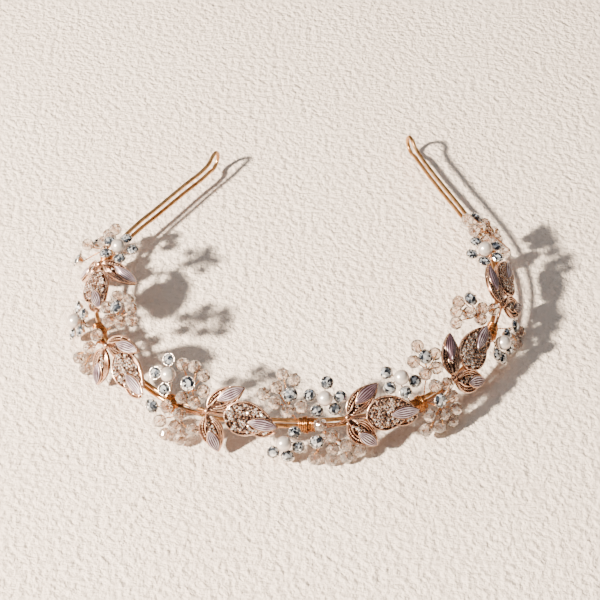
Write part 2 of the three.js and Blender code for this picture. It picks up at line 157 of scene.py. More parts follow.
def heads(name, stone_radius):
    """Stones and beads of a flower or spray node: two lists of (middle, outward normal)."""
    faces, points = flat_faces(name)
    found = {"stone": [], "bead": []}

    def keep(kind, middle, normal, ring_radius, ring_height):
        offsets = points - middle
        heights = offsets @ normal
        radii = np.linalg.norm(offsets - heights[:, None] * normal, axis=1)
        on_ring = (abs(radii - ring_radius) < SAME_LENGTH) & (abs(heights - ring_height) < SAME_LENGTH)
        known = any(np.linalg.norm(middle - m) < 0.5 for m, _ in found[kind])
        if on_ring.sum() >= 3 and not known:
            found[kind].append((middle, normal))

    for face in faces:
        centre, normal = face[:2]
        if is_hexagon(face, STONE_TABLE_SHARE * stone_radius):
            keep("stone", centre - normal * STONE_HALF_HEIGHT, normal, stone_radius, STONE_GIRDLE)
        if is_hexagon(face, BEAD_FLAT_RADIUS):
            keep("bead", centre - normal * BEAD_FLAT, normal, BEAD_RADIUS, 0)
    return found["stone"], found["bead"]


# ---------------------------------------------------------------- small geometry helpers


def unit(vector):
    return vector / np.linalg.norm(vector)


def frame_at(origin, normal, towards):
    """4x4 frame with z along the normal and x as close to towards as it can be."""
    z = unit(np.asarray(normal, float))
    x = unit(towards - (towards @ z) * z)
    made = np.eye(4)
    made[:3, 0], made[:3, 1], made[:3, 2], made[:3, 3] = x, np.cross(z, x), z, origin
    return made


def free_frame(origin, normal):
    side = np.array([0.0, 0.0, 1.0]) if abs(normal[2]) < 0.9 else np.array([1.0, 0.0, 0.0])
    return frame_at(origin, normal, side)


def placed(matrix, points):
    return np.asarray(points) @ matrix[:3, :3].T + matrix[:3, 3]


def smooth_line(points, steps):
    """Curve through the points, with tangents that respect uneven spacing."""
    points = np.asarray(points, float)
    gaps = np.maximum(np.linalg.norm(np.diff(points, axis=0), axis=1), 1e-6)
    slopes = np.diff(points, axis=0) / gaps[:, None]
    tangents = np.empty_like(points)
    tangents[0], tangents[-1] = slopes[0], slopes[-1]
    before, after = gaps[:-1, None], gaps[1:, None]
    tangents[1:-1] = (slopes[:-1] * after + slopes[1:] * before) / (before + after)
    line = []
    for k, gap in enumerate(gaps):
        for t in np.arange(steps) / steps:
            line.append(
                (2 * t**3 - 3 * t**2 + 1) * points[k]
                + (t**3 - 2 * t**2 + t) * gap * tangents[k]
                + (3 * t**2 - 2 * t**3) * points[k + 1]
                + (t**3 - t**2) * gap * tangents[k + 1]
            )
    line.append(points[-1])
    return np.array(line)


def bezier(p0, p1, p2, p3, t):
    t = np.asarray(t)[:, None]
    return (1 - t) ** 3 * p0 + 3 * (1 - t) ** 2 * t * p1 + 3 * (1 - t) * t**2 * p2 + t**3 * p3


class Shape:
    """Corner points and faces of one piece, gathered in millimetres."""

    def __init__(self):
        self.points = []
        self.faces = []
        self.smooth = []
        self.tones = []
        # Tone of the faces now being added, read by the materials as painted shade or painted reflection.
        self.tone = 0.5

    def add(self, points, faces, smooth=True, tones=None):
        first = len(self.points)
        self.points.extend(np.asarray(points).tolist())
        self.faces.extend([[first + k for k in face] for face in faces])
        self.smooth.extend([smooth] * len(faces))
        self.tones.extend(tones if tones is not None else [self.tone] * len(faces))

    def loft(self, rings, smooth=True, closed=False, row_tones=None):
        """Skin over rings of equal size; the ends are capped unless the loft closes on itself."""
        count, size = len(rings), len(rings[0])
        faces = []
        for k in range(count if closed else count - 1):
            a, b = k * size, ((k + 1) % count) * size
            faces += [[a + j, a + (j + 1) % size, b + (j + 1) % size, b + j] for j in range(size)]
        tones = None if row_tones is None else list(row_tones) * (count - 1) + [self.tone] * 2
        if not closed:
            faces.append(list(range(size))[::-1])
            faces.append([(count - 1) * size + j for j in range(size)])
        self.add(np.concatenate(rings), faces, smooth, tones)

    def tube(self, line, radius, sides=8, closed=False):
        """Round wire along a line; radius is one number or one for each point."""
        line = np.asarray(line, float)
        if closed:
            tangents = np.roll(line, -1, axis=0) - np.roll(line, 1, axis=0)
        else:
            tangents = np.gradient(line, axis=0)
        tangents /= np.linalg.norm(tangents, axis=1)[:, None]
        radii = np.broadcast_to(radius, len(line))
        normal = free_frame(line[0], tangents[0])[:3, 0]
        angles = 2 * np.pi * np.arange(sides) / sides
        rings = []
        for point, tangent, r in zip(line, tangents, radii):
            normal = unit(normal - (normal @ tangent) * tangent)
            side = np.cross(tangent, normal)
            rings.append(point + r * (np.cos(angles)[:, None] * normal + np.sin(angles)[:, None] * side))
        self.loft(rings, closed=closed)

    def lathe(self, matrix, profile, sides, smooth=True):
        """Turned solid: the profile of (radius, height) starts and ends on the axis."""
        angles = 2 * np.pi * np.arange(sides) / sides
        points = [[0, 0, profile[0][1]]]
        for radius, height in profile[1:-1]:
            points += [[radius * math.cos(a), radius * math.sin(a), height] for a in angles]
        points.append([0, 0, profile[-1][1]])
        faces = [[0, 1 + (j + 1) % sides, 1 + j] for j in range(sides)]
        rows = len(profile) - 2
        for k in range(rows - 1):
            a, b = 1 + k * sides, 1 + (k + 1) * sides
            faces += [[a + j, a + (j + 1) % sides, b + (j + 1) % sides, b + j] for j in range(sides)]
        last = 1 + (rows - 1) * sides
        faces += [[last + j, last + (j + 1) % sides, len(points) - 1] for j in range(sides)]
        self.add(placed(matrix, points), faces, smooth)

    def ball(self, centre, radius, sides=8, rings=5):
        profile = [(radius * math.sin(math.pi * k / rings), -radius * math.cos(math.pi * k / rings))
                   for k in range(rings + 1)]
        self.lathe(free_frame(np.asarray(centre), np.array([0.0, 0.0, 1.0])), profile, sides)


def make_piece(name, shape, material, stands_for=()):
    mesh = bpy.data.meshes.new(name)
    mesh.from_pydata((np.array(shape.points) * MM).tolist(), [], shape.faces)
    mesh.polygons.foreach_set("use_smooth", shape.smooth)
    tones = mesh.attributes.new("tone", "FLOAT", "FACE")
    tones.data.foreach_set("value", shape.tones)
    mesh.materials.append(material)
    mesh.update()
    piece = bpy.data.objects.new(name, mesh)
    bpy.context.scene.collection.objects.link(piece)
    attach(piece, "root")
    if stands_for:
        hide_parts(*stands_for)
    return piece


# ---------------------------------------------------------------- headband


def band_rings():
    """Middles of the headband wire's sections, in order along the wire."""
    points, triangles = node_mesh("headband_wire")
    edges = {tuple(sorted(e)) for t in triangles for e in ((t[0], t[1]), (t[1], t[2]), (t[2], t[0]))}
    section_step = WIRE_RADIUS * 0.9
    short = [(a, b) for a, b in edges if np.linalg.norm(points[a] - points[b]) < section_step]
    section = grouped(len(points), short)
    members = members_of(section)
    middles = {r: points[m].mean(axis=0) for r, m in members.items()}
    beside = {r: set() for r in members}
    for a, b in edges:
        if section[a] != section[b]:
            beside[section[a]].add(section[b])
            beside[section[b]].add(section[a])
    here = next(r for r in sorted(members) if len(beside[r]) == 1)
    order, before = [here], None
    while True:
        ahead = [r for r in beside[order[-1]] if r != before]
        if not ahead:
            return np.array([middles[r] for r in order])
        before = order[-1]
        order.append(ahead[0])


class Band:
    """The line midway between the headband's two runs, from the left end to the right."""

    def __init__(self):
        self.wire = smooth_line(band_rings(), 6)
        heights = self.wire[:, 1]
        right = self.wire[:, 0] > 0
        turn_right = int(np.argmax(np.where(right, heights, -1e9)))
        turn_left = int(np.argmax(np.where(right, -1e9, heights)))
        first, last = sorted((turn_left, turn_right))
        upper = self.wire[first:last + 1]
        if upper[0, 0] > upper[-1, 0]:
            upper = upper[::-1]
        lower = np.concatenate([self.wire[:first], self.wire[last + 1:]])
        gaps = np.array([lower[np.argmin(np.hypot(*(lower[:, :2] - p[:2]).T)), 2] - p[2] for p in upper])
        self.points = upper + np.stack([0 * gaps, 0 * gaps, gaps / 2], axis=1)
        self.half_spacing = abs(gaps) / 2
        tangents = np.gradient(self.points, axis=0)
        tangents[:, 2] = 0
        self.tangents = tangents / np.linalg.norm(tangents, axis=1)[:, None]
        self.outwards = np.stack([self.tangents[:, 1], -self.tangents[:, 0], 0 * gaps], axis=1)

    def nearest(self, point):
        return int(np.argmin(np.hypot(*(self.points[:, :2] - np.asarray(point)[:2]).T)))

    def along(self, start, end, out):
        """Line beside the band, out from it, from near one point to near another."""
        a, b = self.nearest(start), self.nearest(end)
        picked = np.arange(a, b + 1) if a <= b else np.arange(a, b - 1, -1)
        return self.points[picked] + out * self.outwards[picked]


def node_middle(name):
    low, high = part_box(name)
    return (np.array(low) + np.array(high)) / 2 / MM


def make_headband(band, material):
    shape = Shape()
    shape.tube(band.wire, WIRE_RADIUS, 16)
    make_piece("headband_double_wire", shape, material, ["headband_wire"])


COIL_WIRE = 0.24
COIL_STEPS = 26
COIL_PITCH = 2.05 * COIL_WIRE
COIL_SLACK = 0.12              # most that one turn may stand off the rest
OVER_COIL_RISE = 1.9 * COIL_WIRE
OVER_COIL_LENGTH = 1.7
TAIL_ROOM = 0.5                # a binding reaches this far past the sprig tail's line


def coil(shape, middle, axes, half_size, length, draw):
    """Fine wire wound round the band: axes are (along, out, up), half_size is (out, up)."""
    along, out, up = axes
    turns = int(length / COIL_PITCH)
    line = []
    for k in range(turns * COIL_STEPS + 1):
        angle = 2 * np.pi * k / COIL_STEPS
        if k % COIL_STEPS == 0:
            slack = draw.uniform(0.0, COIL_SLACK)
        c, s = math.cos(angle), math.sin(angle)
        across = (abs(c) ** 3 + abs(s) ** 3) ** (-1 / 3)
        run = (k / COIL_STEPS / turns - 0.5) * length
        line.append(middle + along * run + out * c * across * (half_size[0] + slack)
                    + up * s * across * (half_size[1] + slack))
    shape.tube(line, COIL_WIRE, 6)


def make_bindings(band, material):
    draw = random.Random(11)
    for name in nodes_like("binding_wire"):
        k = band.nearest(node_middle(name))
        axes = band.tangents[k], band.outwards[k], np.array([0.0, 0.0, 1.0])
        back, front = WIRE_RADIUS, BAND_OUT + TAIL_ROOM
        middle = band.points[k] + axes[1] * (front - back) / 2
        half_size = (front + back) / 2 + COIL_WIRE, band.half_spacing[k] + WIRE_RADIUS + COIL_WIRE
        shape = Shape()
        coil(shape, middle, axes, half_size, BINDING_LENGTH - 2 * COIL_WIRE, draw)
        over = half_size[0] + OVER_COIL_RISE, half_size[1] + OVER_COIL_RISE
        coil(shape, middle + axes[0] * draw.uniform(-1, 1), axes, over, OVER_COIL_LENGTH, draw)
        make_piece(name.replace("wire", "coil"), shape, material, [name])


# ---------------------------------------------------------------- stones, beads and pearls

STRAND_RADIUS = 0.12
STRAND_TURN = 1.8              # length over which two strands twist once
STEM_BALL = 0.75
PEARL_HUB_DROP = 1.9           # a flower's stems meet this far below its pearl's seat
SPRAY_HUB_DROP = 2.6
STONE_FOOT = 1.15              # a stem ends this far behind a stone's middle
BEAD_FOOT = 1.8


def twisted_wire(shape, start, end, bow, draw):
    """Two fine strands twisted together, bowed sideways a little."""
    length = np.linalg.norm(end - start)
    steps = max(8, int(length * 3))
    t = np.linspace(0, 1, steps + 1)[:, None]
    frame_here = free_frame(start, end - start)
    side, other = frame_here[:3, 0], frame_here[:3, 1]
    lean = draw.uniform(0, 2 * np.pi)
    bend = bow * (math.cos(lean) * side + math.sin(lean) * other)
    middle = start + (end - start) * t + bend * np.sin(np.pi * t)
    turn = 2 * np.pi * t * length / STRAND_TURN
    for phase in (0, np.pi):
        offset = np.cos(turn + phase) * side + np.sin(turn + phase) * other
        shape.tube(middle + STRAND_RADIUS * offset, STRAND_RADIUS, 6)


CUP_PROFILE = [(0, -0.64), (0.38, -0.64), (0.49, -0.56), (0.64, -0.36), (0.9, 0.01), (1.0, 0.1),
               (1.0, 0.2), (0.95, 0.23), (0.87, 0.16), (0, -0.15)]
PRONG_PATH = ((0.97, 0.05), (0.99, 0.23), (0.94, 0.38), (0.82, 0.45))
PRONG_RADII = (0.08, 0.095, 0.1, 0.065)
STONE_GLASS_SHARE = 0.94
PRONGS = 6


def sized(matrix, scale):
    """The same frame with its units stretched."""
    made = matrix.copy()
    made[:3, :3] *= scale
    return made


def cup(shape, matrix, radius):
    """Pronged metal cup of a round stone."""
    scaled = sized(matrix, radius)
    shape.tone = 0.95
    shape.lathe(scaled, CUP_PROFILE, 20)
    for k in range(PRONGS):
        angle = 2 * np.pi * (k + 0.25) / PRONGS
        line = [[r * math.cos(angle), r * math.sin(angle), h] for r, h in PRONG_PATH]
        shape.tube(placed(scaled, line), radius * np.array(PRONG_RADII), 6)
    shape.tone = 0.5


# Facet tones are painted reflections: the table facets mostly bright, the crown facets mixed and the rim
# facets mostly dark.
TABLE_TONES = (0.02, 0.25, 0.5, 0.8, 1.0, 1.0)
TABLE_CROWN = 1.3              # a table's middle against its corners' height, so its facets part the light
CROWN_TONES = (0.02, 0.15, 0.35, 0.6, 0.95)
RIM_TONES = (0.02, 0.08, 0.2, 0.3, 0.55, 0.9)


def brilliant(shape, matrix, radius, height, draw, shade=1.0):
    """Round brilliant-cut stone: table, star, kite and girdle facets over a plain pavilion."""
    count = 8
    rim = 2 * count

    def ring(size, reach, level, shift=0.0):
        return [[reach * math.cos(2 * np.pi * (k + shift) / size),
                 reach * math.sin(2 * np.pi * (k + shift) / size), level] for k in range(size)]

    table = ring(count, 0.58 * radius, height)
    kites = ring(count, 0.8 * radius, 0.64 * height, 0.5)
    girdle = ring(rim, radius, 0)
    points = [[0, 0, TABLE_CROWN * height]] + table + kites + girdle + [[0, 0, -0.75 * radius]]
    t0, k0, g0, foot = 1, 1 + count, 1 + 2 * count, 1 + 2 * count + rim
    # Each facet's tone is a painted reflection, and shade darkens all of them together as painted light.
    faces, tones = [], []
    for k in range(count):
        n, p = (k + 1) % count, (k - 1) % count
        faces.append([0, t0 + k, t0 + n])
        tones.append(draw.choice(TABLE_TONES))
        faces.append([t0 + n, t0 + k, k0 + k])
        tones.append(draw.choice(CROWN_TONES))
        faces.append([t0 + k, k0 + p, g0 + 2 * k, k0 + k])
        tones.append(draw.choice(CROWN_TONES))
        for j in (2 * k, 2 * k + 1):
            faces.append([k0 + k, g0 + j, g0 + (j + 1) % rim])
            tones.append(draw.choice(RIM_TONES))
    for j in range(rim):
        faces.append([foot, g0 + (j + 1) % rim, g0 + j])
        tones.append(0.5)
    shape.add(placed(matrix, points), faces, False, [shade * tone for tone in tones])


def stone(glass, metal, middle, normal, radius, draw):
    """One cupped rhinestone."""
    matrix = free_frame(middle, normal)
    spin = draw.uniform(0, 2 * np.pi)
    c, s = math.cos(spin), math.sin(spin)
    matrix[:3, :2] = matrix[:3, :2] @ np.array([[c, -s], [s, c]])
    cup(metal, matrix, radius)
    raised = matrix.copy()
    raised[:3, 3] += 0.22 * radius * matrix[:3, 2]
    brilliant(glass, raised, STONE_GLASS_SHARE * radius, 0.38 * radius, draw)


BEAD_RINGS = ((-2.0, 0.85, 0.0), (-1.4, 1.75, 0.5), (-0.5, 2.25, 0.0), (0.5, 2.25, 0.5), (1.4, 1.75, 0.0),
              (2.0, 0.85, 0.5))
BEAD_SIDES = 7
BEAD_PIN = ((0, 0, -1.95), (0, 0, 0), (0, 0, 2.05))
BEAD_PIN_RADIUS = 0.13


def bead(glass, metal, middle, normal, draw):
    """Faceted round glass bead with a wire pin through its hole. One that faces down is turned over."""
    matrix = free_frame(middle, normal if normal[2] > -0.5 else -normal)
    spin = draw.uniform(0, 2 * np.pi)
    points, faces, tones = [], [], []
    for height, reach, shift in BEAD_RINGS:
        for k in range(BEAD_SIDES):
            angle = spin + 2 * np.pi * (k + shift) / BEAD_SIDES
            points.append([reach * math.cos(angle), reach * math.sin(angle), height])
    for row, (_, _, shift) in enumerate(BEAD_RINGS[:-1]):
        a, b = row * BEAD_SIDES, (row + 1) * BEAD_SIDES
        for k in range(BEAD_SIDES):
            n = (k + 1) % BEAD_SIDES
            if shift == 0.0:
                faces += [[a + k, a + n, b + k], [b + k, a + n, b + n]]
            else:
                faces += [[a + k, a + n, b + n], [a + k, b + n, b + k]]
            # Each facet gets a random tone, which the glass turns into a painted reflection.
            tones += [draw.random(), draw.random()]
    faces.append(list(range(BEAD_SIDES))[::-1])
    faces.append([len(points) - BEAD_SIDES + k for k in range(BEAD_SIDES)])
    tones += [0.5, 0.5]
    glass.add(placed(matrix, points), faces, False, tones)
    metal.tube(placed(matrix, BEAD_PIN), BEAD_PIN_RADIUS, 6)


PEARL_CUP = [(0, -2.8), (1.0, -2.75), (1.7, -2.3), (2.1, -1.7), (2.0, -1.6), (0, -1.9)]


def make_pearl(name, normal, material, metal):
    middle = node_middle(name)
    shape = Shape()
    shape.ball(middle, PEARL_RADIUS, 32, 20)
    make_piece(name.replace("pearl", "pearl_nacre"), shape, material, [name])
    matrix = free_frame(middle, normal)
    metal.lathe(matrix, PEARL_CUP, 16)


def anchor_on_band(band, bindings, point):
    """Where a stem that comes from this point reaches the wound part of the band."""
    k = min((band.nearest(b) for b in bindings), key=lambda i: np.linalg.norm(band.points[i] - point))
    shift = float(np.clip((point - band.points[k]) @ band.tangents[k], -2.0, 2.0))
    return band.points[k] + shift * band.tangents[k] + 0.6 * band.outwards[k]


def make_flowers(band, looks):
    draw = random.Random(5)
    bindings = [node_middle(n) for n in nodes_like("binding_wire")]
    for node in nodes_like("pearl_flower"):
        stones, _ = heads(node, FLOWER_STONE_RADIUS)
        number = node.split("_")[2]
        pearl = "pearl_" + number
        normal = unit(sum(n for _, n in stones))
        glass, metal = Shape(), Shape()
        hub = node_middle(pearl) - normal * (PEARL_RISE + PEARL_HUB_DROP)
        for middle, facing in stones:
            stone(glass, metal, middle, facing, FLOWER_STONE_RADIUS, draw)
            twisted_wire(metal, hub, middle - facing * STONE_FOOT, 0.15, draw)
        metal.ball(hub, STEM_BALL, 10, 6)
        twisted_wire(metal, hub, anchor_on_band(band, bindings, hub), 0.3, draw)
        make_pearl(pearl, normal, looks["pearl"], metal)
        make_piece(f"flower_{number}_rhinestones", glass, looks["crystal"], [node])
        make_piece(f"flower_{number}_cups", metal, looks["silver_gold"], [node])


def make_sprays(band, looks):
    draw = random.Random(8)
    bindings = [node_middle(n) for n in nodes_like("binding_wire")]
    for node in nodes_like("bead_spray"):
        stones, beads = heads(node, SPRAY_STONE_RADIUS)
        number = node.split("_")[2]
        crystal, glass, metal, fine = Shape(), Shape(), Shape(), Shape()
        every = stones + beads
        middle_of_all = sum(m for m, _ in every) / len(every)
        facing_of_all = unit(sum(n for _, n in every))
        anchor = anchor_on_band(band, bindings, middle_of_all)
        hub = middle_of_all - SPRAY_HUB_DROP * facing_of_all
        hub += 0.25 * (anchor - hub)
        for middle, facing in stones:
            stone(crystal, metal, middle, facing, SPRAY_STONE_RADIUS, draw)
            twisted_wire(fine, hub, middle - facing * STONE_FOOT, 0.2, draw)
        for middle, facing in beads:
            bead(glass, fine, middle, facing, draw)
            twisted_wire(fine, hub, middle - facing * BEAD_FOOT, 0.25, draw)
        twisted_wire(fine, hub, anchor, 0.2, draw)
        if stones:
            make_piece(f"spray_{number}_rhinestones", crystal, looks["crystal"], [node])
            make_piece(f"spray_{number}_cups", metal, looks["silver_gold"], [node])
        make_piece(f"spray_{number}_beads", glass, looks["bead"], [node])
        make_piece(f"spray_{number}_wires", fine, looks["binding"], [node])


# ---------------------------------------------------------------- leaves


def petal_frame(name, near):
    """Frame of a petal: origin at its inner end, x to its tip, z outward. Also its length."""
    points, _ = node_mesh(name)
    middle = points.mean(axis=0)
    _, _, axes = np.linalg.svd(points - middle)
    x, z = axes[0], axes[2] * (1 if axes[2][2] > 0 else -1)
    reach = (points - middle) @ x
    ends = middle + x * reach.min(), middle + x * reach.max()
    if np.linalg.norm(ends[0] - near) > np.linalg.norm(ends[1] - near):
        x, ends = -x, ends[::-1]
    low = ((points - ends[0]) @ z).min()
    return frame_at(ends[0] + low * z, z, x), np.linalg.norm(ends[1] - ends[0])


def leaf_frame(petal, leaf):
    """Frame of the leaf that carries a petal: origin at its base, on its back."""
    start = leaf["length"] * leaf["petal_from"]
    turn = math.atan2(-leaf["petal_shift"], leaf["length"] - start)
    c, s = math.cos(turn), math.sin(turn)
    x, y, z = petal[:3, 0], petal[:3, 1], petal[:3, 2]
    made = np.eye(4)
    made[:3, 0], made[:3, 1], made[:3, 2] = c * x - s * y, s * x + c * y, z
    made[:3, 3] = petal[:3, 3] - start * made[:3, 0] - leaf["petal_shift"] * made[:3, 1] - PETAL_LIFT * z
    return made


class Lobe:
    """Pointed flat outline from start to end, bulging by left and right of the line between."""

    def __init__(self, start, end, left, right, fullness=(0.15, 0.6)):
        self.start, self.end = np.array(start, float), np.array(end, float)
        self.bulges = {1: left, -1: right}
        self.fullness = fullness

    def edge(self, side, t, inset=0.0):
        """Points along one edge (side 1 is left) at shares t of its length, moved inward."""
        run = self.end - self.start
        length = np.linalg.norm(run)
        ahead = run / length
        across = side * np.array([-ahead[1], ahead[0]])
        bulge = self.bulges[side]
        near, far = self.fullness
        line = bezier(self.start, self.start + near * run + 1.15 * bulge * across,
                      self.start + far * run + 1.35 * bulge * across, self.end, t)
        if inset:
            offsets = (line - self.start) @ across
            keep = np.maximum(offsets - inset, 0.12 * offsets)
            line = line + (keep - offsets)[:, None] * across
        return line

    def half_width(self, side, x):
        """How far the edge stands off the centre line at distance x from the start."""
        t = np.linspace(0, 1, 60)
        run = unit(self.end - self.start)
        line = self.edge(side, t) - self.start
        across = side * np.array([-run[1], run[0]])
        return np.interp(x, line @ run, line @ across)


def plate(shape, matrix, lobe, bottom, top, dome, rows=22, columns=10):
    """Cast plate of a lobe's outline, its face crowned by dome along the middle."""
    t = (1 - np.cos(np.linspace(0.04, np.pi - 0.04, rows))) / 2
    left, right = lobe.edge(1, t), lobe.edge(-1, t)
    rings = []
    for a, b in zip(left, right):
        share = np.linspace(0, 1, columns)
        row = a + (b - a) * share[:, None]
        crown = top + dome * np.sin(np.pi * share)
        over = np.column_stack([row, crown])
        under = np.column_stack([row[::-1], np.full(columns, bottom)])
        rings.append(placed(matrix, np.concatenate([over, under])))
    shape.loft(rings)


def edge_wire(shape, matrix, line, height, radius, sides=7):
    lifted = np.column_stack([line, np.broadcast_to(height, len(line))])
    shape.tube(placed(matrix, lifted), radius, sides)


def milgrain(shape, matrix, outer, inner, height):
    """Twin rims along an edge with a row of small grains in the channel between them."""
    shape.tone = 0.95
    edge_wire(shape, matrix, outer, height + 0.12, 0.34)
    edge_wire(shape, matrix, inner, height + 0.12, 0.3)
    shape.tone = 0.8
    middle = (outer + inner) / 2
    steps = np.linalg.norm(np.diff(middle, axis=0), axis=1).cumsum()
    for run in np.arange(0.5, steps[-1], 0.86):
        place = [np.interp(run, np.r_[0, steps], middle[:, k]) for k in (0, 1)]
        shape.ball(placed(matrix, [[*place, height - 0.05]])[0], 0.38, 8, 5)
    shape.tone = 0.5


PAVE_STEP = 1.15
PAVE_RADIUS = 0.58
# Painted light: each pavé stone is darkened as a whole by one of these shares, so some sparkle and some stay
# dark.
PAVE_SHADES = (0.2, 0.5, 0.8, 1.0, 1.0)
GRAIN_REACH = PAVE_STEP * 0.577
GRAIN_RISE = 0.16
GRAIN_RADIUS = 0.24


def pave(stones, metal, matrix, inside, area, level, draw):
    """Small round stones in staggered rows wherever inside says yes, with grains between."""
    (x0, x1), (y0, y1) = area
    row_step = PAVE_STEP * 0.87
    for row in range(int((y1 - y0) / row_step) + 1):
        y = y0 + row * row_step
        for k in range(int((x1 - x0) / PAVE_STEP) + 1):
            x = x0 + (k + 0.5 * (row % 2)) * PAVE_STEP
            if not inside(x, y):
                continue
            nudge = draw.uniform(-0.25, 0.25), draw.uniform(-0.25, 0.25), draw.uniform(-0.05, 0.18)
            place = placed(matrix, [[x + nudge[0], y + nudge[1], level(x, y) + nudge[2]]])[0]
            tilt = np.array([draw.uniform(-0.3, 0.3), draw.uniform(-0.3, 0.3), 1])
            seat = frame_at(place, matrix[:3, :3] @ tilt, matrix[:3, 0])
            size = PAVE_RADIUS * draw.choice((0.85, 1.0, 1.12))
            brilliant(stones, seat, size, 0.55 * size, draw, draw.choice(PAVE_SHADES))
            for angle in (30, 150, 270):
                c, s = math.cos(math.radians(angle)), math.sin(math.radians(angle))
                grain = placed(seat, [[GRAIN_REACH * c, GRAIN_REACH * s, GRAIN_RISE]])[0]
                metal.ball(grain, GRAIN_RADIUS, 6, 4)


RIDGES = 5
PETAL_COLUMNS = 41
# Painted shade: these petals are darkened as a whole, as if turned away from the light.
PETAL_SHADES = {"4_upper": 0.72, "5_upper": 0.66, "6_upper": 0.8, "6_lower": 0.7, "2_lower": 0.85}


def petal(shape, matrix, length, width, shade, draw):
    """Enamel petal with rounded lengthwise ridges and sharp grooves, thinning to its two ends."""
    share = np.linspace(-1, 1, PETAL_COLUMNS)
    lean = draw.uniform(-0.12, 0.12)
    ridge = np.abs(np.cos(RIDGES * np.pi / 2 * (share + lean * (1 - share**2))))
    rings = []
    for t in (1 - np.cos(np.linspace(0.06, np.pi - 0.06, 26))) / 2:
        half = width * 2 * t * (1 - t)
        body = PETAL_THICKNESS * (0.4 + 0.6 * np.sqrt(np.maximum(1 - share**2, 0)))
        taper = 0.35 + 0.65 * math.sin(np.pi * t) ** 0.5
        over = np.column_stack([np.full(PETAL_COLUMNS, length * t), -half * share,
                                (body + 0.34 * (ridge - 0.5)) * taper])
        under = np.column_stack([np.full(PETAL_COLUMNS, length * t), half * share, np.zeros(PETAL_COLUMNS)])
        rings.append(placed(matrix, np.concatenate([over, under])))
    # The tones follow the ridges, so the grooves get painted shade, scaled by the petal's painted shade; the
    # underside is painted dark.
    over_tones = shade * (ridge[1:] + ridge[:-1]) / 2
    shape.loft(rings, row_tones=[*over_tones, 0.0, *(0 * over_tones), 0.0])


def petal_setting(shape, matrix, length, width):
    """Gold seat under a petal and the fine rim round it."""
    t = np.linspace(0.0, 1.0, 22)
    shape.tone = 0.9
    for side in (1, -1):
        line = np.column_stack([length * t, side * (width + 0.3) * 2 * t * (1 - t)])
        edge_wire(shape, matrix, line, 0.15, 0.25, 6)
    # Painted shade on the seat under the petal.
    shape.tone = 0.2
    lobe_rings = []
    for u in (1 - np.cos(np.linspace(0.08, np.pi - 0.08, 12))) / 2:
        half = width * 2 * u * (1 - u)
        lobe_rings.append(placed(matrix, [[length * u, half, 0.02], [length * u, -half, 0.02],
                                          [length * u, -half, -0.4], [length * u, half, -0.4]]))
    shape.loft(lobe_rings)
    shape.tone = 0.5


STRIP_WIDTH = 2.0
RECESS = 0.35
RIB_STEP = 0.75


def petal_half_width(leaf, x):
    """Half width of a leaf's petal at distance x from the leaf's base, nothing beside its ends."""
    start = leaf["length"] * leaf["petal_from"]
    share = (x - start) / (leaf["length"] - start)
    return PETAL_WIDTH * 2 * share * (1 - share) if 0 < share < 1 else -9.0


def petal_middle(leaf, x):
    start = leaf["length"] * leaf["petal_from"]
    return leaf["petal_shift"] * (leaf["length"] - x) / (leaf["length"] - start)


def side_leaf(metal, stones, matrix, leaf, side, draw):
    """Small leaf: grained strip on one edge, stones at its base, three ribs on the other edge."""
    length, half = leaf["length"], leaf["width"] / 2
    lobe = Lobe([0, 0], [length, 0], half, half)
    # The plate's low tone paints shade into the recess between the raised rims.
    metal.tone = 0.1
    plate(metal, matrix, lobe, 0.0, LEAF_THICKNESS - RECESS, 0.1)
    t = np.linspace(0.02, 0.74, 22)
    milgrain(metal, matrix, lobe.edge(side, t), lobe.edge(side, t, STRIP_WIDTH), LEAF_THICKNESS)
    metal.tone = 0.9
    t = np.linspace(0.74, 1, 10)
    edge_wire(metal, matrix, lobe.edge(side, t), LEAF_THICKNESS, 0.28)
    for k in range(3):
        t = np.linspace(0.1 + 0.09 * k, 1.0 - 0.06 * k, 20)
        edge_wire(metal, matrix, lobe.edge(-side, t, RIB_STEP * k), LEAF_THICKNESS - 0.05 * k, 0.3)
    metal.tone = 0.5

    def inside(x, y):
        if not 1.2 < x < length * 0.72:
            return False
        off = side * y
        room = lobe.half_width(side, x) - STRIP_WIDTH - 0.7 if off > 0 else lobe.half_width(-side, x) - 2.5
        clear = abs(y - petal_middle(leaf, x)) > petal_half_width(leaf, x) + 0.35
        return clear and abs(off) < room

    pave(stones, metal, matrix, inside, ((1.2, length), (-half, half)),
         lambda x, y: LEAF_THICKNESS - RECESS + 0.3, draw)


def big_leaf(metal, stones, matrix, leaf, draw):
    """Large leaf: a broad lobe and a narrow one below the petal, both paved inside a fine rim."""
    length, half = leaf["length"], leaf["width"] / 2
    broad = Lobe([0, 0], [length * 0.9, 1.3], half * 0.96, half * 1.0, (0.1, 0.58))
    narrow = Lobe([length * 0.45, -2.0], [length * 0.97, -1.9], 1.4, half * 0.42, (0.2, 0.7))
    for lobe, top in ((broad, LEAF_THICKNESS), (narrow, LEAF_THICKNESS - 0.1)):
        # The plate's lowered tone is painted shade in the paved recess inside the rims.
        metal.tone = 0.4
        plate(metal, matrix, lobe, 0.0, top - 0.2, 0.25)
        metal.tone = 0.95
        for side in (1, -1):
            t = np.linspace(0, 1, 30)
            edge_wire(metal, matrix, lobe.edge(side, t), top + 0.1, 0.3)
    metal.tone = 0.5

    def inside(lobe, x, y):
        run = unit(lobe.end - lobe.start)
        local = np.array([x, y]) - lobe.start
        reach, off = local @ run, local @ np.array([-run[1], run[0]])
        if not 0.8 < reach < np.linalg.norm(lobe.end - lobe.start) - 0.7:
            return False
        room = lobe.half_width(1 if off > 0 else -1, reach) - 0.85
        return abs(off) < room and abs(y - petal_middle(leaf, x)) > petal_half_width(leaf, x) + 0.5

    area = ((0.8, length), (-half * 1.1, half * 1.1))

    def level(x, y):
        return LEAF_THICKNESS + 0.1 + 0.3 * math.cos(0.5 * np.pi * min(1, abs(y) / half))

    pave(stones, metal, matrix, lambda x, y: inside(broad, x, y) or inside(narrow, x, y), area, level, draw)


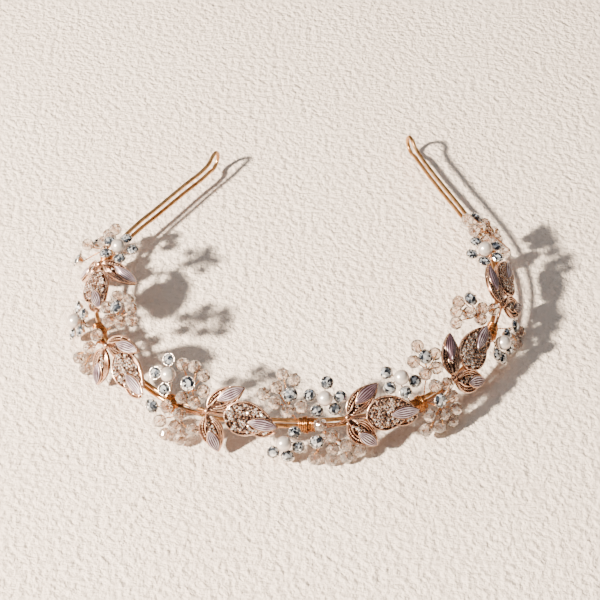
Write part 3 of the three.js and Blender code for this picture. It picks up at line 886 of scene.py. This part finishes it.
def make_sprigs(band, looks):
    draw = random.Random(3)
    for node in nodes_like("leaf_sprig"):
        if node.endswith("petal"):
            continue
        number = node.split("_")[2]
        binding = node_middle(f"binding_wire_{number}")
        metal, stones = Shape(), Shape()
        bases = {}
        for kind, leaf in LEAVES.items():
            petal_node = f"{node}_{kind}_petal"
            matrix, length = petal_frame(petal_node, binding)
            enamel = Shape()
            petal(enamel, matrix, length, PETAL_WIDTH, PETAL_SHADES.get(f"{number}_{kind}", 1.0), draw)
            petal_setting(metal, matrix, length, PETAL_WIDTH)
            petal_name = f"sprig_{number}_{kind}_enamel_petal"
            make_piece(petal_name, enamel, looks["enamel"], [petal_node])
            seat = leaf_frame(matrix, leaf)
            bases[kind] = seat
            if kind == "big":
                big_leaf(metal, stones, seat, leaf, draw)
            else:
                side_leaf(metal, stones, seat, leaf, 1 if kind == "upper" else -1, draw)
        boss = (bases["upper"][:3, 3] + bases["lower"][:3, 3]) / 2 + 0.5 * bases["big"][:3, 2]
        metal.ball(boss, 1.15, 12, 8)
        for seat in bases.values():
            inner = placed(seat, [[0.3, 0, 0.5], [2.5, 0, 0.5]])
            line = smooth_line([boss, (boss + inner[0]) / 2, inner[0], inner[1]], 3)
            metal.tube(line, 0.5, 8)
        away = unit(boss - band.points[band.nearest(boss)])
        tail = band.along(binding - 2.4 * band.tangents[band.nearest(binding)], boss, BAND_OUT)
        tail = list(tail[:-5:3]) + [(tail[-4] + boss) / 2 - 0.3 * away, boss]
        metal.tube(smooth_line(tail, 4), 0.5, 8)
        make_piece(f"sprig_{number}_casting", metal, looks["rose"], [node])
        make_piece(f"sprig_{number}_pave_stones", stones, looks["pave"], [node])


# ---------------------------------------------------------------- materials

WHITE = (1.0, 1.0, 1.0)


def new_material(name):
    material = bpy.data.materials.new(name)
    material.use_nodes = True
    nodes = material.node_tree.nodes
    return material, nodes, material.node_tree.links, nodes["Principled BSDF"]


def noise(nodes, links, scale, detail=3.0):
    """Noise in the object's own coordinates; scale is in cells per millimetre."""
    place = nodes.new("ShaderNodeTexCoord")
    texture = nodes.new("ShaderNodeTexNoise")
    texture.inputs["Scale"].default_value = scale / MM
    texture.inputs["Detail"].default_value = detail
    links.new(place.outputs["Object"], texture.inputs["Vector"])
    return texture.outputs["Fac"]


def ramp(nodes, links, value, stops):
    made = nodes.new("ShaderNodeValToRGB")
    made.color_ramp.elements[0].position, made.color_ramp.elements[0].color = stops[0][0], (*stops[0][1], 1)
    made.color_ramp.elements[1].position, made.color_ramp.elements[1].color = stops[-1][0], (*stops[-1][1], 1)
    for position, colour in stops[1:-1]:
        made.color_ramp.elements.new(position).color = (*colour, 1)
    links.new(value, made.inputs["Fac"])
    return made.outputs["Color"]


def bump(nodes, links, shader, height, strength, distance):
    made = nodes.new("ShaderNodeBump")
    made.inputs["Strength"].default_value = strength
    made.inputs["Distance"].default_value = distance * MM
    links.new(height, made.inputs["Height"])
    links.new(made.outputs["Normal"], shader.inputs["Normal"])


def multiplied(nodes, links, first, second):
    made = nodes.new("ShaderNodeMix")
    made.data_type, made.blend_type = "RGBA", "MULTIPLY"
    made.inputs["Factor"].default_value = 1.0
    links.new(first, made.inputs[6])
    links.new(second, made.inputs[7])
    return made.outputs[2]


def face_tone(nodes):
    """Each face's tone, which the shapes set while they are made; the materials turn it into painted shade
    and painted reflections.
    """
    tone = nodes.new("ShaderNodeAttribute")
    tone.attribute_name = "tone"
    return tone.outputs["Fac"]


def clear_coat(shader, roughness):
    shader.inputs["Coat Weight"].default_value = 1.0
    shader.inputs["Coat Roughness"].default_value = roughness


def toned(nodes, links, colour, low, high):
    """The colour darkened where the face tone is low and left alone where it is high."""
    shade = ramp(nodes, links, face_tone(nodes), [(0.0, low), (0.5, high), (1.0, WHITE)])
    return multiplied(nodes, links, colour, shade)


def shaded_crevices(nodes, links, colour):
    """The colour darkened where other surfaces stand close by."""
    reach = nodes.new("ShaderNodeAmbientOcclusion")
    reach.samples = 8
    reach.inputs["Distance"].default_value = 1.6 * MM
    shade = ramp(nodes, links, reach.outputs["AO"], [(0.2, (0.3, 0.17, 0.1)), (0.75, WHITE)])
    return multiplied(nodes, links, colour, shade)


def metal_look(name, dark, bright, roughness, grain):
    """Plated metal: patchy tone, roughness that wanders with it, and a fine grain."""
    material, nodes, links, shader = new_material(name)
    shader.inputs["Metallic"].default_value = 1.0
    patches = ramp(nodes, links, noise(nodes, links, 0.45), [(0.34, dark), (0.62, bright)])
    # Painted shade: faces with a low tone, such as recessed leaf plates and the seats under petals, are
    # darkened, while raised rims and cups with a high tone keep nearly their full colour; shaded_crevices
    # then darkens the colour where surfaces stand close.
    cast = toned(nodes, links, patches, (0.1, 0.05, 0.03), (0.66, 0.56, 0.5))
    links.new(shaded_crevices(nodes, links, cast), shader.inputs["Base Color"])
    spread = nodes.new("ShaderNodeMapRange")
    spread.inputs["To Min"].default_value, spread.inputs["To Max"].default_value = roughness
    links.new(noise(nodes, links, 1.4), spread.inputs["Value"])
    links.new(spread.outputs["Result"], shader.inputs["Roughness"])
    bump(nodes, links, shader, noise(nodes, links, grain, 4.0), 0.35, 0.06)
    return material


def facet_look(name, stops, metallic):
    """Foil-backed cut glass: each facet's painted reflection, from its tone, sets its colour."""
    material, nodes, links, shader = new_material(name)
    links.new(ramp(nodes, links, face_tone(nodes), stops), shader.inputs["Base Color"])
    shader.inputs["Metallic"].default_value = metallic
    shader.inputs["Roughness"].default_value = 0.08
    clear_coat(shader, 0.02)
    bump(nodes, links, shader, noise(nodes, links, 3.0), 0.05, 0.02)
    return material


def bead_look():
    """Clear faceted glass with a faint champagne tint; the facets' dark brown to white colours are painted
    reflections.
    """
    material, nodes, links, shader = new_material("champagne_glass")
    stops = [(0.0, (0.2, 0.13, 0.09)), (0.3, (0.6, 0.45, 0.35)), (0.6, (0.96, 0.84, 0.74)), (1.0, WHITE)]
    links.new(ramp(nodes, links, face_tone(nodes), stops), shader.inputs["Base Color"])
    shader.inputs["Transmission Weight"].default_value = 0.9
    shader.inputs["IOR"].default_value = 1.7
    shader.inputs["Roughness"].default_value = 0.04
    clear_coat(shader, 0.02)
    bump(nodes, links, shader, noise(nodes, links, 1.5), 0.05, 0.03)
    return material


def pearl_look():
    """Nacre: ivory body with faint grey clouding under a clear gloss; the darker, rosier rim is painted
    shade.
    """
    material, nodes, links, shader = new_material("nacre")
    facing = nodes.new("ShaderNodeLayerWeight")
    facing.inputs["Blend"].default_value = 0.35
    # Painted shade: the base colour darkens and warms from the middle of the pearl toward its rim.
    painted_rim_shade = ramp(nodes, links, facing.outputs["Facing"],
                 [(0.0, (0.7, 0.66, 0.63)), (0.45, (0.54, 0.47, 0.44)), (1.0, (0.34, 0.26, 0.23))])
    cloud = ramp(nodes, links, noise(nodes, links, 0.5), [(0.35, (0.92, 0.91, 0.9)), (0.7, WHITE)])
    links.new(multiplied(nodes, links, painted_rim_shade, cloud), shader.inputs["Base Color"])
    shader.inputs["Metallic"].default_value = 0.5
    shader.inputs["Roughness"].default_value = 0.3
    clear_coat(shader, 0.06)
    return material


def enamel_look():
    """Pearly lilac enamel, pale on the ridges and darkened to deep mauve down in the grooves as painted
    shade.
    """
    material, nodes, links, shader = new_material("lilac_enamel")
    # Tone to colour: near black and dark mauve are painted shade in the grooves, pale lilac is the ridges'
    # own colour.
    stops = [(0.0, (0.02, 0.008, 0.01)), (0.6, (0.12, 0.06, 0.08)), (0.85, (0.6, 0.5, 0.57)),
             (1.0, (0.9, 0.84, 0.88))]
    tint = ramp(nodes, links, face_tone(nodes), stops)
    cloud = ramp(nodes, links, noise(nodes, links, 0.4), [(0.38, (0.5, 0.42, 0.46)), (0.6, WHITE)])
    links.new(multiplied(nodes, links, tint, cloud), shader.inputs["Base Color"])
    shader.inputs["Metallic"].default_value = 0.62
    shader.inputs["Roughness"].default_value = 0.3
    clear_coat(shader, 0.06)
    bump(nodes, links, shader, noise(nodes, links, 2.0), 0.1, 0.05)
    return material


def plaster_look():
    material, nodes, links, shader = new_material("pale_floor")
    stops = [(0.35, (0.87, 0.75, 0.65)), (0.7, (0.9, 0.79, 0.69))]
    links.new(ramp(nodes, links, noise(nodes, links, 0.02), stops), shader.inputs["Base Color"])
    shader.inputs["Roughness"].default_value = 0.8
    bump(nodes, links, shader, noise(nodes, links, 0.45, 6.0), 1.0, 1.7)
    return material


# ---------------------------------------------------------------- floor, lights and camera


FLOOR_HALF_SIZE = 3.0          # in metres, as are the lights' and camera's places


def make_floor():
    size = FLOOR_HALF_SIZE
    mesh = bpy.data.meshes.new("floor")
    corners = [(-size, -size, 0), (size, -size, 0), (size, size, 0), (-size, size, 0)]
    mesh.from_pydata(corners, [], [[0, 1, 2, 3]])
    mesh.materials.append(plaster_look())
    floor = bpy.data.objects.new("floor", mesh)
    bpy.context.scene.collection.objects.link(floor)


def aim(obj, target):
    direction = Vector(target) - obj.location
    obj.rotation_mode = "QUATERNION"
    obj.rotation_quaternion = direction.to_track_quat("-Z", "Y")


def area_light(name, direction, distance, size, power, colour, target):
    light = bpy.data.lights.new(name, "AREA")
    light.shape = "DISK"
    light.size = size
    light.energy = power
    light.color = colour
    lamp = bpy.data.objects.new(name, light)
    lamp.location = Vector(target) + Vector(direction).normalized() * distance
    bpy.context.scene.collection.objects.link(lamp)
    aim(lamp, target)


KEY_DIRECTION = (-0.735, -0.379, 0.565)
KEY_COLOUR = (1.0, 0.86, 0.7)
FILL_DIRECTION = (0.5, 0.6, 0.9)
FILL_COLOUR = (0.95, 0.97, 1.0)


def make_lights():
    """A small warm key for crisp shadows and a large faint fill from the other side."""
    middle = (0, 0, 0)
    area_light("key", KEY_DIRECTION, distance=1.4, size=0.11, power=138, colour=KEY_COLOUR, target=middle)
    area_light("fill", FILL_DIRECTION, distance=1.3, size=0.5, power=1.6, colour=FILL_COLOUR, target=middle)


WINDOW_DIRECTION = (-0.42, -0.2, 0.88)
WORLD_STRENGTH = 0.68


def make_world():
    """Dim room with one bright window overhead and to the left."""
    world = bpy.data.worlds.new("studio")
    world.use_nodes = True
    bpy.context.scene.world = world
    nodes, links = world.node_tree.nodes, world.node_tree.links
    place = nodes.new("ShaderNodeTexCoord")
    towards = nodes.new("ShaderNodeVectorMath")
    towards.operation = "DOT_PRODUCT"
    towards.inputs[1].default_value = WINDOW_DIRECTION
    links.new(place.outputs["Generated"], towards.inputs[0])
    stops = [(0.0, (0.05, 0.045, 0.045)), (0.5, (0.13, 0.12, 0.12)), (0.78, (0.3, 0.3, 0.32)), (0.9, WHITE)]
    room = ramp(nodes, links, towards.outputs["Value"], stops)
    links.new(room, nodes["Background"].inputs["Color"])
    nodes["Background"].inputs["Strength"].default_value = WORLD_STRENGTH


CAMERA_ELEVATION = math.radians(48)
CAMERA_DISTANCE = 0.6
CAMERA_LENS = 102.9
CAMERA_TARGET = (0.00115, 0.00164, -0.0035)


def make_camera():
    data = bpy.data.cameras.new("camera")
    data.lens = CAMERA_LENS
    data.sensor_width = 36
    data.clip_start, data.clip_end = 0.01, 20
    camera = bpy.data.objects.new("camera", data)
    target = Vector(CAMERA_TARGET)
    back = Vector((0, -math.cos(CAMERA_ELEVATION), math.sin(CAMERA_ELEVATION)))
    camera.location = target + CAMERA_DISTANCE * back
    bpy.context.scene.collection.objects.link(camera)
    aim(camera, target)
    bpy.context.scene.camera = camera


# ---------------------------------------------------------------- the whole scene

# Tone to colour for the facets' painted reflections, near black to white.
CRYSTAL_STOPS = (
    (0.0, (0.01, 0.012, 0.018)),
    (0.4, (0.1, 0.12, 0.15)),
    (0.7, (0.45, 0.5, 0.56)),
    (1.0, (0.95, 0.97, 1.0)),
)
# Tone to colour for the pavé facets' painted reflections, near black to white.
PAVE_STOPS = (
    (0.0, (0.012, 0.007, 0.006)),
    (0.35, (0.1, 0.065, 0.05)),
    (0.65, (0.42, 0.37, 0.35)),
    (0.9, (1.0, 0.97, 0.94)),
)

looks = {
    "band": metal_look("pale_gold", (0.72, 0.42, 0.18), (1.0, 0.7, 0.38), (0.22, 0.38), 2.0),
    "binding": metal_look("orange_gold", (0.7, 0.3, 0.09), (1.0, 0.58, 0.24), (0.2, 0.34), 3.0),
    "rose": metal_look("rose_gold", (0.5, 0.28, 0.18), (0.98, 0.7, 0.54), (0.16, 0.34), 2.4),
    "silver_gold": metal_look("pale_setting", (0.62, 0.54, 0.48), (0.95, 0.89, 0.82), (0.16, 0.3), 2.4),
    "crystal": facet_look("foiled_crystal", CRYSTAL_STOPS, 0.7),
    "pave": facet_look("pave_crystal", PAVE_STOPS, 0.45),
    "bead": bead_look(),
    "pearl": pearl_look(),
    "enamel": enamel_look(),
}

headband = Band()
make_camera()
make_world()
make_floor()
make_lights()
make_headband(headband, looks["band"])
make_bindings(headband, looks["binding"])
make_sprigs(headband, looks)
make_flowers(headband, looks)
make_sprays(headband, looks)
